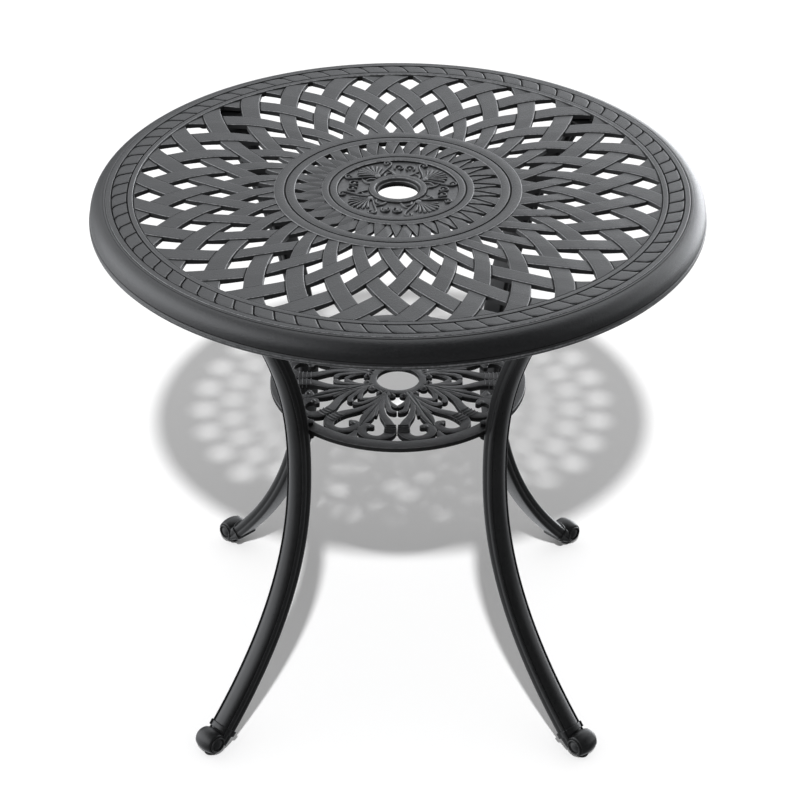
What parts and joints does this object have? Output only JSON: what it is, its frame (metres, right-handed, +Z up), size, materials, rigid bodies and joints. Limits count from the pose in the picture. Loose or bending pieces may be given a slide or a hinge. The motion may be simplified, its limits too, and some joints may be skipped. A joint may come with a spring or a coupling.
{
  "type": "umbrella table",
  "caption": "Round cast aluminium garden table with a woven lattice top, umbrella hole, bowed legs with scroll feet and a scrollwork lower shelf.",
  "frame": {"origin": "on the floor, under the centre of the table top", "axes": "+Z up; the four legs stand on the diagonals between +X and +Y; +X and +Y are alike"},
  "size_m": [0.78, 0.78, 0.714],
  "materials": {
    "cast_top": "dark grey powder coat with a fine grain",
    "cast_leg": "black powder coat, satin",
    "black_steel": "black oxide",
    "zinc": "zinc plated",
    "nylon": "black moulded plastic"
  },
  "bodies": {
    "frame": {"table_top": "cast_top", "lower_shelf": "cast_top", "leg_a": "cast_leg", "leg_b": "cast_leg", "leg_c": "cast_leg", "leg_d": "cast_leg", "top_washer_a1": "zinc", "top_bolt_a1": "black_steel", "top_washer_a2": "zinc", "top_bolt_a2": "black_steel", "top_washer_b1": "zinc", "top_bolt_b1": "black_steel", "top_washer_b2": "zinc", "top_bolt_b2": "black_steel", "top_washer_c1": "zinc", "top_bolt_c1": "black_steel", "top_washer_c2": "zinc", "top_bolt_c2": "black_steel", "top_washer_d1": "zinc", "top_bolt_d1": "black_steel", "top_washer_d2": "zinc", "top_bolt_d2": "black_steel", "shelf_bolt_a": "black_steel", "shelf_nut_a": "black_steel", "shelf_bolt_b": "black_steel", "shelf_nut_b": "black_steel", "shelf_bolt_c": "black_steel", "shelf_nut_c": "black_steel", "shelf_bolt_d": "black_steel", "shelf_nut_d": "black_steel"},
    "glide_a": {"glide_base_a": "nylon", "glide_stud_a": "zinc"},
    "glide_b": {"glide_base_b": "nylon", "glide_stud_b": "zinc"},
    "glide_c": {"glide_base_c": "nylon", "glide_stud_c": "zinc"},
    "glide_d": {"glide_base_d": "nylon", "glide_stud_d": "zinc"}
  },
  "joints": [
    {"name": "glide_a_level", "type": "slide", "parent": "frame", "child": "glide_a", "axis": [0, 0, -1], "range_m": [0, 0.008]},
    {"name": "glide_b_level", "type": "slide", "parent": "frame", "child": "glide_b", "axis": [0, 0, -1], "range_m": [0, 0.008]},
    {"name": "glide_c_level", "type": "slide", "parent": "frame", "child": "glide_c", "axis": [0, 0, -1], "range_m": [0, 0.008]},
    {"name": "glide_d_level", "type": "slide", "parent": "frame", "child": "glide_d", "axis": [0, 0, -1], "range_m": [0, 0.008]}
  ]
}
